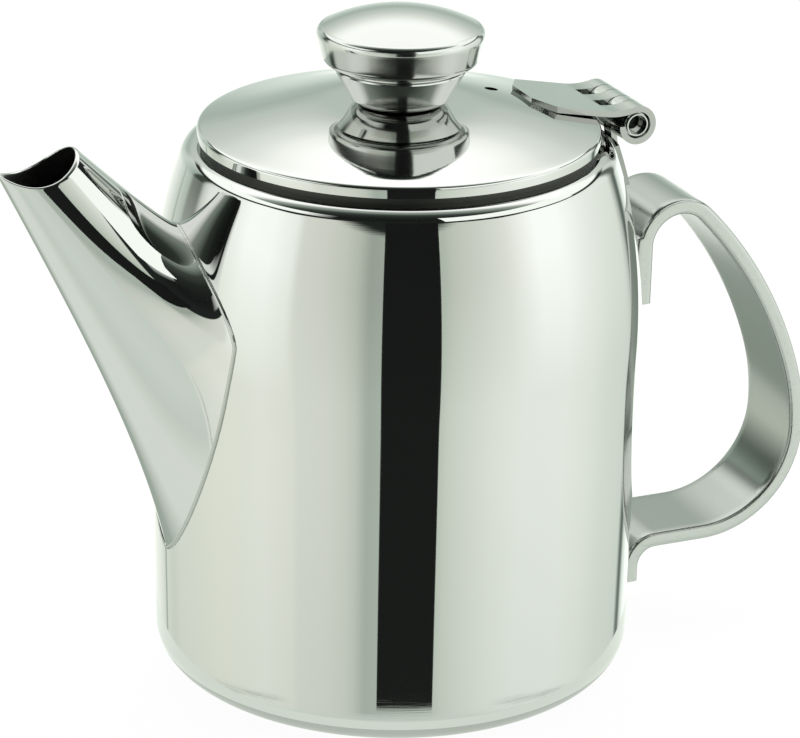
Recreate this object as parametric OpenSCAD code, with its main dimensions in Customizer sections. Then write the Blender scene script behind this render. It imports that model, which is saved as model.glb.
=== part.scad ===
// Teapot in polished sheet steel: drawn pot, welded cone spout, bent strap handle,
// and a domed lid that swings on a rolled barrel hinge.
// The origin is the middle of the base. +Z is up, the spout points to -X
// and the handle stands on +X. All sizes are in millimetres.

/* [Pot] */
// Outside radius of the pot where its wall is widest
pot_r = 54; // [48:0.5:64]
// Outside radius of the pot just above its base bend
pot_foot_r = 53.3; // [47:0.1:64]
// Sheet thickness of the pot
pot_wall = 0.8; // [0.6:0.1:1.2]
// Outside radius of the bend between base and wall
base_bend = 7; // [4:0.5:12]
// Height where the shoulder starts to curve in
shoulder_z = 76; // [60:1:84]
// Radius of the long shoulder curve, seen from the side
shoulder_arc = 123; // [100:1:160]
// Height of the rim that the lid sits on
rim_z = 119; // [112:0.5:126]
// Outside radius of the bend at the rim
rim_bend = 3.5; // [2:0.25:5]
// Width of the seat on the rim, from the filling mouth out to under the lid's edge
seat_w = 3.7; // [3:0.1:6]
// Depth of the collar turned down inside the mouth
collar_d = 5; // [3:0.5:9]

/* [Strainer] */
// Radius of each strainer hole
strain_r = 1; // [0.75:0.25:1.5]
// Distance between neighbouring strainer holes
strain_pitch = 6.2; // [4:0.1:10]
// Steel kept between the strainer holes and the spout seam
strain_edge = 5; // [4:0.5:8]

/* [Spout] */
// Sheet thickness of the spout
spout_wall = 0.8; // [0.6:0.1:1.2]
// Distance from the pot's axis to the middle of the pouring mouth
mouth_out = 80.9; // [74:0.1:90]
// Height of the middle of the pouring mouth
mouth_z = 121.8; // [112:0.1:130]
// Half length of the pouring mouth, from lip to back
mouth_len = 8.6; // [6:0.1:11]
// Half width of the pouring mouth
mouth_wid = 7; // [5:0.1:9]
// Share by which the mouth narrows towards its lip
lip_pinch = 0.35; // [0:0.05:0.5]
// Rise from the mouth's middle to its back edge
mouth_tilt = 1.9; // [0:0.1:5]
// Dip of the mouth's sides below its lip and back
mouth_dip = 1.7; // [0:0.1:3]
// Height of the widest place of the seam on the pot
seam_z = 86.7; // [80:0.1:92]
// Rise of the seam above its widest place
seam_up = 19.3; // [15:0.1:22]
// Drop of the seam below its widest place
seam_down = 55; // [40:0.5:60]
// Half width of the seam
seam_wid = 25.8; // [20:0.1:30]
// Height of the widest place of the straight cone where it meets the pot
throat_z = 85; // [80:0.5:90]
// Rise of the straight cone above that place
throat_up = 19.5; // [14:0.5:21]
// Drop of the straight cone below that place
throat_down = 38; // [28:0.5:45]
// Half width of the straight cone there
throat_wid = 15.5; // [12:0.5:20]

/* [Handle] */
// Thickness of the handle strap
strap_t = 3.5; // [2.5:0.1:5]
// Width of the handle strap
strap_w = 21; // [16:0.5:26]
// Height where the upper tab ends
top_tab_z = 78; // [72:0.5:86]
// Height where the strap leaves the pot at the top
hook_z = 91.3; // [86:0.1:96]
// Centreline radius of the hook at the top
hook_r = 8.6; // [7:0.1:12]
// Bend of the hook at the top
hook_turn = 135; // [125:1:145]
// Centreline radius of the long grip curve
grip_r = 98.5; // [80:0.5:130]
// Bend of the long grip curve
grip_turn = 27; // [20:1:32]
// Centreline radius behind the fingers
heel_r = 52; // [40:0.5:70]
// Centreline radius of the lower corner
corner_r = 23; // [16:0.5:28]
// Centreline radius of the bend into the lower tab
toe_r = 6; // [4:0.25:9]
// Length of the straight part of the lower tab
low_tab = 3.6; // [2:0.1:8]

/* [Lid] */
// Distance from the pot's shoulder edge in to the lid's edge
lid_inset = 3.6; // [3:0.1:6]
// Sheet thickness of the lid
lid_wall = 0.8; // [0.6:0.1:1.2]
// Gap between the pot's rim and the lid's turned edge
lid_lift = 1.7; // [1:0.1:3]
// Height of the lid's turned edge
lid_band = 2.3; // [1.8:0.1:4]
// Rise of the dome above the turned edge
dome_h = 4.8; // [3:0.1:8]
// Outside radius of the bend at the lid's edge
lid_bend = 1; // [0.9:0.1:2]
// Depth of the locating ring below the pot's rim
plug_d = 5; // [3:0.5:8]
// Radial clearance between the locating ring and the pot's mouth
plug_gap = 0.5; // [0.4:0.05:0.8]
// Radius of the steam hole
vent_r = 1.5; // [1:0.25:2]
// Distance from the lid's edge in to the middle of the steam hole
vent_in = 20; // [16:0.5:24]
// Distance of the steam hole to the side of the hinge's middle
vent_y = 4.5; // [0:0.5:8]

/* [Knob] */
// Height of the knob above the lid
knob_h = 20.8; // [17:0.1:26]
// Largest radius of the knob
knob_r = 18; // [15:0.1:21]
// Sheet thickness of the knob's two shells
knob_wall = 0.8; // [0.6:0.1:1]
// Radius of the knob where it stands on the lid
knob_neck_r = 9.95; // [8.5:0.05:12]
// Height where the cone meets the cap
knob_seam_h = 7.7; // [6:0.1:10]
// Outside radius of the cone at that seam
knob_seam_r = 14.2; // [12:0.1:15]
// Height of the cap's side band, from its curl to its edge
cap_band = 5.4; // [4:0.1:8]
// Radius by which the cap's side band leans in at its lower end
cap_lean = 1.1; // [0:0.1:2]
// Radius of the curl at the cap's lower edge
cap_curl = 2.1; // [1.6:0.1:3]
// Rise of the cap's dome
cap_dome = 4.4; // [2:0.1:7]
// Radius of the bend at the cap's upper edge
cap_bend = 1.6; // [1.2:0.1:2.5]
// Thread diameter of the knob's screw
screw_d = 5; // [4:0.5:6]
// Length of the knob's screw under its head
screw_len = 9; // [7.5:0.5:11]

/* [Hinge] */
// Thickness of both hinge leaves
leaf_t = 1.35; // [1:0.05:1.6]
// Width of both hinge leaves
leaf_w = 22; // [18:0.5:24]
// Radius of the hinge pin
pin_r = 2.95; // [2.5:0.05:3.2]
// Radial running clearance round the hinge pin
pin_gap = 0.05; // [0.02:0.01:0.1]
// Distance from the pot's shoulder edge out to the hinge pin
pin_out = 4.7; // [4.2:0.1:6.5]
// Height of the hinge pin above the pot's rim
pin_up = 1.4; // [0.8:0.1:3]
// Width of each slot in the lid's leaf
slot_w = 4; // [3:0.1:5]
// Side clearance between a knuckle and its slot
slot_gap = 0.2; // [0.1:0.05:0.4]
// Distance from the middle of the hinge to the middle of a slot
slot_y = 4.3; // [3.5:0.1:6]
// Length of the lid's leaf in front of the hinge pin
leaf_len = 23; // [18:0.5:26]
// Distance from the lid's edge in to where its leaf touches the dome
leaf_back = 7.5; // [5:0.5:10]
// Distance from the lid's edge out to where its leaf starts to bend
leaf_flat = 0.5; // [0.3:0.1:1.5]
// Distance from the lid's edge out to the slots in its leaf
slot_out = 1.2; // [0.8:0.1:2]
// Length of the slanted corners of the lid's leaf
leaf_corner = 3.4; // [2:0.1:6]
// Half width of the lid's leaf at its tip
leaf_tip = 5; // [3:0.5:9]
// Height of the pot's leaf
pad_h = 9; // [6:0.5:14]

/* [Hidden] */

$fn = 96;
seat = 0.02; // gap between faces that are welded or clamped together
weld_gap = 0.03; // gap between the spout's seam and the pot
reach = 200; // longer than the teapot, for cutting through it

// ---- small helpers ----

function lerp(a, b, t) = a + (b - a) * t;
function arc(c, r, a0, a1, n) =
    [for (i = [0:n]) let (a = lerp(a0, a1, i / n)) [c[0] + r * cos(a), c[1] + r * sin(a)]];
function flip(v) = [for (i = [len(v) - 1:-1:0]) v[i]];

// Outline of a sheet of thickness t through points [x, z, heading]
function sheet(path, t) = concat(
    [for (s = path) [s[0] - t / 2 * sin(s[2]), s[1] + t / 2 * cos(s[2])]],
    flip([for (s = path) [s[0] + t / 2 * sin(s[2]), s[1] - t / 2 * cos(s[2])]]));

// ---- pot ----

shoulder_turn = asin((rim_z - shoulder_z - rim_bend) / (shoulder_arc - rim_bend));
shoulder_c = [pot_r - shoulder_arc, shoulder_z];
shoulder_end = shoulder_c + shoulder_arc * [cos(shoulder_turn), sin(shoulder_turn)];
rim_c = shoulder_end - rim_bend * [cos(shoulder_turn), sin(shoulder_turn)];
lid_r = shoulder_end[0] - lid_inset; // outside radius of the lid
mouth_r = lid_r - seat_w; // inside radius of the filling mouth
collar_bend = pot_wall + 0.7; // outside radius of the bend down into the mouth
shoulder_steps = 10;

// Outside radius of the pot at height z, below the rim's bend
function pot_at(z) = z < shoulder_z
    ? lerp(pot_foot_r, pot_r, max(0, z - base_bend) / (shoulder_z - base_bend))
    : shoulder_c[0] + sqrt(pow(shoulder_arc, 2) - pow(z - shoulder_z, 2));

// Half outline of the pot's skin, moved in by d, from the base's middle to the rim
function pot_skin(d) = concat(
    [[0, d]],
    arc([pot_foot_r - base_bend, base_bend], base_bend - d, -90, 0, 6),
    arc(shoulder_c, shoulder_arc - d, 0, shoulder_turn, shoulder_steps),
    arc(rim_c, rim_bend - d, shoulder_turn, 90, 4));

// The same, carried on over the rim and down the collar
function pot_sheet_side(d) = concat(
    pot_skin(d),
    arc([mouth_r + collar_bend, rim_z - collar_bend], collar_bend - d, 90, 180, 3),
    [[mouth_r + d, rim_z - collar_d]]);

// The pot as a closed solid, grown by g: what is welded to the pot is cut back to it
module pot_form(g) {
    rotate_extrude() polygon(concat(pot_skin(-g), [[0, rim_z + g]]));
}

// Strainer: rows of holes that stay clear of the spout's seam
function seam_half(z) = let (u = z > seam_z ? (z - seam_z) / seam_up : (seam_z - z) / seam_down)
    u >= 1 ? 0 : seam_wid * pow(1 - pow(u, seam_power), 1 / seam_power);
strain_row = strain_pitch * sin(60);
strain_z0 = seam_z - seam_down / 2;
strain_rows = floor((seam_z + seam_up - strain_edge - strain_z0) / strain_row);

module strainer_holes() {
    for (row = [0:strain_rows]) {
        z = strain_z0 + row * strain_row;
        side = min(seam_half(z), throat_wid + strain_edge) - strain_edge;
        shift = row % 2 == 0 ? 0 : strain_pitch / 2;
        for (k = [-4:4]) {
            y = k * strain_pitch + shift;
            if (abs(y) <= side)
                rotate([0, 0, 180 + asin(y / pot_at(z))])
                    translate([pot_at(z) - 3 * pot_wall, 0, z]) rotate([0, 90, 0])
                    cylinder(r = strain_r, h = 6 * pot_wall, $fn = 16);
        }
    }
}

module body() {
    color("silver") difference() {
        rotate_extrude() polygon(concat(pot_sheet_side(0), flip(pot_sheet_side(pot_wall))));
        strainer_holes();
    }
}

// ---- spout ----

seam_power = 1.5; // 2 would make the seam an ellipse, 1 a diamond
around = 60; // points round the spout
along = 14; // rings between its mouth and its seam
straight = 0.85; // share of each line that keeps the cone's direction

function signed_pow(v, p) = sign(v) * pow(abs(v), p);
// A closed outline on the pot's wall: a is the angle from its lowest point
function on_pot(a, z0, up, down, wid, g) =
    let (p = 2 / seam_power,
         z = z0 - (cos(a) > 0 ? down : up) * signed_pow(cos(a), p),
         y = wid * signed_pow(sin(a), p))
    [-sqrt(pow(pot_at(z) + g, 2) - y * y), y, z];
function seam(a, t) = on_pot(a, seam_z, seam_up - t, seam_down - t, seam_wid - t, weld_gap);
function throat(a, t) = on_pot(a, throat_z, throat_up - t, throat_down - t, throat_wid - t, 0);
function mouth(a, t) = [
    -mouth_out - (mouth_len - t) * cos(a),
    (mouth_wid - t) * sin(a) * (1 - lip_pinch * cos(a)),
    mouth_z - mouth_tilt * cos(a) + mouth_dip * cos(2 * a)];
// One line of the spout, from mouth to seam: straight at first, then flared on to the pot
function spout_line(a, u, t) =
    let (m = mouth(a, t), v = throat(a, 1.2 * t), r = seam(a, 1.6 * t),
         q1 = lerp(m, v, straight / 2), q2 = lerp(m, v, straight), w = 1 - u)
    w * w * w * m + 3 * w * w * u * q1 + 3 * w * u * u * q2 + u * u * u * r;
function ring(u, t) = [for (i = [0:around - 1]) spout_line(i * 360 / around, u, t)];
// Two triangles for each cell between ring a and ring b
function band(a, b) = [for (i = [0:around - 1]) let (j = (i + 1) % around)
    each [[a + i, a + j, b + j], [a + i, b + j, b + i]]];

module spout() {
    skins = [for (t = [0, spout_wall]) each [for (k = [0:along]) each ring(k / along, t)]];
    inner = around * (along + 1);
    outer_faces = [for (k = [0:along - 1]) each band(k * around, (k + 1) * around)];
    inner_faces = [for (k = [0:along - 1]) each band(inner + (k + 1) * around, inner + k * around)];
    lip_faces = band(inner, 0);
    seam_faces = band(along * around, inner + along * around);
    color("silver")
        polyhedron(skins, concat(outer_faces, inner_faces, lip_faces, seam_faces), convexity = 6);
}

// ---- handle ----

tab_x = pot_r + strap_t / 2;
heel_turn = 180 - hook_turn - grip_turn;
corner_turn = 90;

// The strap is a run of pieces: [length, 0, 0] is straight, [0, turn, radius] is a bend.
// A station is [x, z, heading]; a turn to the left is positive.
function next_station(s, piece) = let (h = s[2] + piece[1], g = sign(piece[1]) * piece[2])
    piece[1] == 0 ? [s[0] + piece[0] * cos(h), s[1] + piece[0] * sin(h), h]
    : [s[0] - g * sin(s[2]) + g * sin(h), s[1] + g * cos(s[2]) - g * cos(h), h];
function stations(s, pieces, i = 0) = i == len(pieces) ? [s]
    : concat([s], stations(next_station(s, pieces[i]), pieces, i + 1));

grip_pieces = [
    [hook_z - top_tab_z, 0, 0],
    [0, -hook_turn, hook_r],
    [0, -grip_turn, grip_r],
    [0, -heel_turn, heel_r],
    [0, -corner_turn, corner_r]];
strap_start = [tab_x, top_tab_z, 90];
grip_end = stations(strap_start, grip_pieces)[len(grip_pieces)];
strap_pieces = concat(grip_pieces, [
    [grip_end[0] - toe_r - tab_x, 0, 0],
    [0, corner_turn, toe_r],
    [low_tab, 0, 0]]);
toe_end = stations(strap_start, strap_pieces)[len(strap_pieces)];

bend_step = 6; // turn between two cuts across a bend
strap_cuts = stations(strap_start, [for (p = strap_pieces)
    each p[1] == 0 ? [p] : let (n = ceil(abs(p[1]) / bend_step)) [for (i = [1:n]) [0, p[1] / n, p[2]]]]);

module handle() {
    fill_w = strap_w - 1;
    color("lightgray") difference() {
        union() {
            rotate([90, 0, 0]) linear_extrude(strap_w, center = true)
                polygon(sheet(strap_cuts, strap_t));
            // Both tabs are dished to the pot, so they start as thicker blocks
            translate([tab_x - strap_t, -fill_w / 2, top_tab_z])
                cube([strap_t, fill_w, hook_z - top_tab_z]);
            translate([tab_x - strap_t, -fill_w / 2, toe_end[1]])
                cube([strap_t, fill_w, low_tab]);
        }
        pot_form(seat);
    }
}

// ---- lid ----

lid_edge_z = rim_z + lid_lift;
band_top_z = lid_edge_z + lid_band;
apex_z = band_top_z + dome_h;
dome_r = (pow(lid_r, 2) + pow(dome_h, 2)) / (2 * dome_h);
dome_c = [0, apex_z - dome_r];
dome_turn = asin((lid_r - lid_bend) / (dome_r - lid_bend));
lid_bend_c = dome_c + (dome_r - lid_bend) * [sin(dome_turn), cos(dome_turn)];
// Height of the dome's outside at radius r
function dome_at(r) = dome_c[1] + sqrt(dome_r * dome_r - r * r);

// Half outline of the lid's skin, moved in by d
function lid_skin(d) = concat(
    arc(dome_c, dome_r - d, 90, 90 - dome_turn, 16),
    arc(lid_bend_c, lid_bend - d, 90 - dome_turn, 0, 6),
    [[lid_r - d, lid_edge_z]]);

module lid() {
    color("silver") difference() {
        rotate_extrude() polygon(concat(lid_skin(0), flip(lid_skin(lid_wall))));
        translate([lid_r - vent_in, vent_y, lid_edge_z]) cylinder(r = vent_r, h = reach);
        translate([0, 0, lid_edge_z]) cylinder(r = screw_d / 2 + bore_play, h = reach);
    }
}

// Locating ring: a plug in the mouth, a seat on the rim and an upstand inside the lid
module lid_ring() {
    plug_r = mouth_r - plug_gap;
    rim_r = lid_r - lid_wall - seat;
    top = dome_c[1] + sqrt(pow(dome_r - lid_wall, 2) - pow(rim_r, 2)) - lid_bend;
    color("gainsboro") rotate_extrude() polygon([
        [plug_r - lid_wall, rim_z - plug_d],
        [plug_r, rim_z - plug_d],
        [plug_r, rim_z],
        [rim_r, rim_z],
        [rim_r, top],
        [rim_r - lid_wall, top],
        [rim_r - lid_wall, rim_z + lid_wall],
        [plug_r - lid_wall, rim_z + lid_wall]]);
}

// ---- knob ----

cup_z = apex_z + seat;
cap_top_z = cup_z + knob_h;
cap_edge_z = cap_top_z - cap_dome;
curl_c = [knob_r - cap_lean - cap_curl, cap_edge_z - cap_band];
cap_dome_r = (pow(knob_r, 2) + pow(cap_dome, 2)) / (2 * cap_dome);
cap_dome_c = [0, cap_top_z - cap_dome_r];
cap_turn = asin((knob_r - cap_bend) / (cap_dome_r - cap_bend));
cap_bend_c = cap_dome_c + (cap_dome_r - cap_bend) * [sin(cap_turn), cos(cap_turn)];
band_lean = atan(cap_lean / (cap_bend_c[1] - curl_c[1]));
lip_in = 0.9; // length of the flat lip under the cone's flange

function cap_skin(d) = concat(
    arc(cap_dome_c, cap_dome_r - d, 90, 90 - cap_turn, 14),
    arc(cap_bend_c, cap_bend - d, 90 - cap_turn, -band_lean, 8),
    arc(curl_c, cap_curl - d, -band_lean, -90, 8),
    [curl_c - [lip_in, cap_curl - d]]);

module knob_cap() {
    color("silver") rotate_extrude() polygon(concat(cap_skin(0), flip(cap_skin(knob_wall))));
}

// The cup is a cone with a short neck that stands in the cap's lip under a flange
cup_bend = 1.2; // radius and height of the bevel at the cone's foot
cup_neck_r = curl_c[0] - lip_in - 0.4;
cup_slope = (knob_seam_r - knob_neck_r) / knob_seam_h;
cup_in = knob_wall * sqrt(1 + cup_slope * cup_slope);
flange_z = curl_c[1] - cap_curl + knob_wall + seat;
bore_play = 0.1; // radial play round the knob's screw
module knob_cup() {
    cone_top_z = cup_z + (cup_neck_r - knob_wall - knob_neck_r + cup_in) / cup_slope;
    color("silver") rotate_extrude() polygon([
        [screw_d / 2 + bore_play, cup_z],
        [knob_neck_r - cup_bend, cup_z],
        [knob_neck_r + cup_slope * cup_bend, cup_z + cup_bend],
        [knob_seam_r, cup_z + knob_seam_h],
        [cup_neck_r, cup_z + knob_seam_h + knob_wall / 2],
        [cup_neck_r, flange_z],
        [curl_c[0], flange_z],
        [curl_c[0], flange_z + knob_wall],
        [cup_neck_r - knob_wall, flange_z + knob_wall],
        [cup_neck_r - knob_wall, cone_top_z],
        [knob_neck_r + cup_slope * cup_bend - cup_in, cup_z + cup_bend],
        [knob_neck_r + cup_slope * cup_bend - cup_in - (cup_bend - knob_wall), cup_z + knob_wall],
        [screw_d / 2 + bore_play, cup_z + knob_wall]]);
}

nut_h = 0.8 * screw_d;
nut_d = 1.85 * screw_d; // across its corners
module knob_nut() {
    color("dimgray") translate([0, 0, cup_z + knob_wall + seat]) difference() {
        cylinder(d = nut_d, h = nut_h, $fn = 6);
        translate([0, 0, -1]) cylinder(d = screw_d + 3 * seat, h = nut_h + 2);
    }
}

washer_r = 1.15 * screw_d;
washer_t = 1;
washer_z = dome_c[1] + sqrt(pow(dome_r - lid_wall, 2) - pow(washer_r, 2)) - seat - washer_t;
module knob_washer() {
    color("gray") translate([0, 0, washer_z]) difference() {
        cylinder(r = washer_r, h = washer_t);
        translate([0, 0, -1]) cylinder(r = screw_d / 2 + bore_play, h = washer_t + 2);
    }
}

head_r = 0.9 * screw_d;
head_h = 0.6 * screw_d;
head_chamfer = 0.25; // share of the head's radius lost at its free face
driver_len = 1.1 * head_r; // length of each arm of the crossed driver slot
driver_w = 1;
driver_depth = 1.2;
module knob_screw() {
    head_z = washer_z - seat - head_h;
    color("gray") difference() {
        union() {
            translate([0, 0, head_z + head_h]) cylinder(d = screw_d, h = screw_len);
            translate([0, 0, head_z + head_h / 2]) cylinder(r = head_r, h = head_h / 2);
            translate([0, 0, head_z])
                cylinder(r1 = head_r * (1 - head_chamfer), r2 = head_r, h = head_h / 2);
        }
        for (a = [0, 90]) rotate([0, 0, a])
            translate([-driver_len / 2, -driver_w / 2, head_z - 1])
            cube([driver_len, driver_w, driver_depth + 1]);
    }
}

// ---- hinge ----

bore_r = pin_r + pin_gap;
knuckle_r = bore_r + leaf_t;
hinge = [shoulder_end[0] + pin_out, rim_z + pin_up];
// The lid's leaf lies on the dome
leaf_touch = lid_r - leaf_back;
leaf_slope = asin(leaf_touch / dome_r);
leaf_mid = [leaf_touch, dome_at(leaf_touch)]
    + (leaf_t / 2 + seat) * [sin(leaf_slope), cos(leaf_slope)];
leaf_front = hinge[0] - leaf_len;
leaf_way = [cos(leaf_slope), -sin(leaf_slope)];
// The flat part ends just outside the lid's edge
leaf_flat_end = leaf_mid + (leaf_back + leaf_flat) / cos(leaf_slope) * leaf_way;
leaf_flat_start = leaf_mid - (leaf_touch - leaf_front + 2) / cos(leaf_slope) * leaf_way;
// From there a bend lifts the leaf to the top of the barrel, which it meets at angle lift_a
barrel_mid_r = bore_r + leaf_t / 2;
function barrel_at(a) = hinge + barrel_mid_r * [cos(a), sin(a)];
function lift_gap(a) = let (v = barrel_at(a) - leaf_flat_end) 2 * atan2(v[1], v[0]) + leaf_slope - (a - 90);
function solve_lift(lo, hi, n) = let (m = (lo + hi) / 2)
    n == 0 ? m : (lift_gap(m) > 0 ? solve_lift(m, hi, n - 1) : solve_lift(lo, m, n - 1));
lift_a = solve_lift(90, 140, 24);
lift_turn = lift_a - 90 + leaf_slope;
lift_r = norm(barrel_at(lift_a) - leaf_flat_end) / (2 * sin(lift_turn / 2));
lift_steps = 6;
function lift_at(h) = leaf_flat_end + lift_r * [sin(h) + sin(leaf_slope), cos(leaf_slope) - cos(h)];
lift_path = [for (i = [0:lift_steps])
    let (h = lerp(-leaf_slope, lift_turn - leaf_slope, i / lift_steps), p = lift_at(h)) [p[0], p[1], h]];
curl_end_a = 180; // where the rolled end of the lid's leaf stops
curl_lap = 4; // angle by which the barrel runs on into the plate

module knuckle(w) {
    rotate([90, 0, 0]) linear_extrude(w, center = true) difference() {
        translate(hinge) circle(r = knuckle_r);
        translate(hinge) circle(r = bore_r);
    }
}

module hinge_lid_leaf() {
    plate = concat([[leaf_flat_start[0], leaf_flat_start[1], -leaf_slope]], lift_path);
    back = hinge[0] + knuckle_r + 1;
    color("silver") difference() {
        intersection() {
            union() {
                rotate([90, 0, 0]) linear_extrude(leaf_w, center = true) polygon(sheet(plate, leaf_t));
                // The rolled barrel, open between its end and the plate
                rotate([90, 0, 0]) linear_extrude(leaf_w, center = true) difference() {
                    translate(hinge) circle(r = knuckle_r);
                    translate(hinge) circle(r = bore_r);
                    translate(hinge) polygon([
                        [0, 0],
                        2 * knuckle_r * [cos(curl_end_a), sin(curl_end_a)],
                        3 * knuckle_r * [cos(lift_a + 40), sin(lift_a + 40)],
                        2 * knuckle_r * [cos(lift_a + curl_lap), sin(lift_a + curl_lap)]]);
                }
            }
            linear_extrude(reach) polygon([
                [leaf_front, leaf_tip], [leaf_front, -leaf_tip],
                [leaf_front + leaf_corner, -leaf_w / 2], [back, -leaf_w / 2],
                [back, leaf_w / 2], [leaf_front + leaf_corner, leaf_w / 2]]);
        }
        for (s = [-1, 1])
            translate([lid_r + slot_out, s * slot_y - slot_w / 2, 0]) cube([reach, slot_w, reach]);
    }
}

pad_drop = 3; // from the rim down to the top of the pot's leaf
pad_top_z = rim_z - pad_drop;
module hinge_body_leaf() {
    half = asin(leaf_w / 2 / pot_at(pad_top_z));
    a0 = asin((pad_top_z - pad_h - shoulder_z) / shoulder_arc);
    a1 = asin((pad_top_z - shoulder_z) / shoulder_arc);
    a_foot = a1 - 2;
    foot = shoulder_c + (shoulder_arc + seat + leaf_t / 2) * [cos(a_foot), sin(a_foot)];
    to_pin = hinge - foot;
    rise_a = atan2(to_pin[1], to_pin[0]) + asin(barrel_mid_r / norm(to_pin));
    rise = sqrt(pow(norm(to_pin), 2) - pow(barrel_mid_r, 2));
    color("silver") union() {
        rotate([0, 0, -half]) rotate_extrude(angle = 2 * half)
            polygon(concat(arc(shoulder_c, shoulder_arc + seat, a0, a1, 4),
                           flip(arc(shoulder_c, shoulder_arc + seat + leaf_t, a0, a1, 4))));
        for (s = [-1, 1]) translate([0, s * slot_y, 0]) {
            knuckle(slot_w - 2 * slot_gap);
            rotate([90, 0, 0]) linear_extrude(slot_w - 2 * slot_gap, center = true)
                polygon(sheet([
                    [foot[0], foot[1], rise_a],
                    [foot[0] + rise * cos(rise_a), foot[1] + rise * sin(rise_a), rise_a]], leaf_t));
        }
    }
}

pin_step = 1.2; // length of the pin's reduced ends
pin_short = 0.4; // by which the pin is shorter than the barrel
pin_end_r = 0.85 * pin_r;
pin_dimple_r = 0.88 * pin_end_r;
pin_dimple = 3; // depth of the hollow in each end
module hinge_pin() {
    color("gray") translate([hinge[0], 0, hinge[1]]) rotate([90, 0, 0]) difference() {
        union() {
            cylinder(r = pin_r, h = leaf_w - 2 * pin_step, center = true);
            cylinder(r = pin_end_r, h = leaf_w - pin_short, center = true);
        }
        for (s = [-1, 1])
            translate([0, 0, s * leaf_w / 2]) cylinder(r = pin_dimple_r, h = 2 * pin_dimple, center = true);
    }
}

body();
spout();
handle();
hinge_body_leaf();
hinge_pin();
hinge_lid_leaf();
lid();
lid_ring();
knob_cap();
knob_cup();
knob_nut();
knob_screw();
knob_washer();
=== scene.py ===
"""Studio scene of a polished steel teapot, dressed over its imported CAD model."""
import logging
import math
from dataclasses import dataclass, field
from enum import Enum
from typing import Callable, Sequence

import bmesh
import bpy
from mathutils import Matrix, Vector


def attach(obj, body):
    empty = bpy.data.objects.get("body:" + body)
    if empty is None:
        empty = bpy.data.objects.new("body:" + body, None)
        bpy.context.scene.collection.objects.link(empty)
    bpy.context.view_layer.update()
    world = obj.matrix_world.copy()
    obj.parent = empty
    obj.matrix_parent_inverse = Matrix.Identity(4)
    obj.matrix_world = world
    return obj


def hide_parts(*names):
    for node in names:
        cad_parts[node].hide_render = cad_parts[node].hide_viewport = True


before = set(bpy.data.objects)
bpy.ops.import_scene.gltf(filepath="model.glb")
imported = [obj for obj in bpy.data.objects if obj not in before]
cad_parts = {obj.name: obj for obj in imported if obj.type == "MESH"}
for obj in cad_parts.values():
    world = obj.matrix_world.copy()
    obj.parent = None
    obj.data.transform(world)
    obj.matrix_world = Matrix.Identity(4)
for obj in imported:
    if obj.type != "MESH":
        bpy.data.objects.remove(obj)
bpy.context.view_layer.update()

LOG = logging.getLogger("teapot")
MM = 0.001
ON_AXIS = 1e-6

Point2 = tuple[float, float]
Point3 = tuple[float, float, float]
Colour = tuple[float, float, float]
Drill = tuple[Point3, Point3, float, float]
Stops = Sequence[tuple[float, Colour]]
Edge = tuple[float, float]


def linear(red: int, green: int, blue: int) -> Colour:
    """Turn an 8-bit display colour into scene-linear numbers.

    Args:
        red: Red, 0 to 255.
        green: Green, 0 to 255.
        blue: Blue, 0 to 255.

    Returns:
        The linear colour.
    """

    def channel(value: int) -> float:
        """Linear value of one 8-bit channel."""
        c = value / 255
        return c / 12.92 if c <= 0.04045 else ((c + 0.055) / 1.055) ** 2.4

    return channel(red), channel(green), channel(blue)


def darker(colour: Colour, share: float) -> Colour:
    """The colour with only a share of its light."""
    red, green, blue = colour
    return red * share, green * share, blue * share


def lerp(a: float, b: float, t: float) -> float:
    """Value a share t of the way from a to b."""
    return a + (b - a) * t


def arc(centre: Point2, radius: float, start: float, end: float, step: float = 2.0) -> list[Point2]:
    """Points along an arc.

    Args:
        centre: Centre of the arc.
        radius: Its radius.
        start: First angle in degrees.
        end: Last angle in degrees.
        step: Largest angle between neighbouring points.

    Returns:
        The points, both ends included.
    """
    count = max(2, math.ceil(abs(end - start) / step))
    angles = [math.radians(lerp(start, end, i / count)) for i in range(count + 1)]
    return [(centre[0] + radius * math.cos(a), centre[1] + radius * math.sin(a)) for a in angles]


def finer(points: Sequence[Point2], longest: float) -> list[Point2]:
    """Split the long sides of a closed outline.

    Args:
        points: Corners of the outline, in order.
        longest: Longest side that is left.

    Returns:
        The outline with added points.
    """
    out: list[Point2] = []
    for (x0, z0), (x1, z1) in zip(points, [*points[1:], points[0]]):
        count = max(1, math.ceil(math.hypot(x1 - x0, z1 - z0) / longest))
        out += [(lerp(x0, x1, i / count), lerp(z0, z1, i / count)) for i in range(count)]
    return out


def edge_bend(radius: float, dome_r: float, bend: float, centre_z: float) -> tuple[float, Point2]:
    """Where a dome runs into the bend at its edge.

    Args:
        radius: Radius of the whole pressing.
        dome_r: Radius of its dome.
        bend: Radius of its bend.
        centre_z: Height of the dome's centre.

    Returns:
        The dome's half angle in degrees, and the bend's centre.
    """
    turn = math.degrees(math.asin((radius - bend) / (dome_r - bend)))
    reach = dome_r - bend
    return turn, (reach * math.sin(math.radians(turn)), centre_z + reach * math.cos(math.radians(turn)))


# ---------------------------------------------------------------- shader tools


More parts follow.
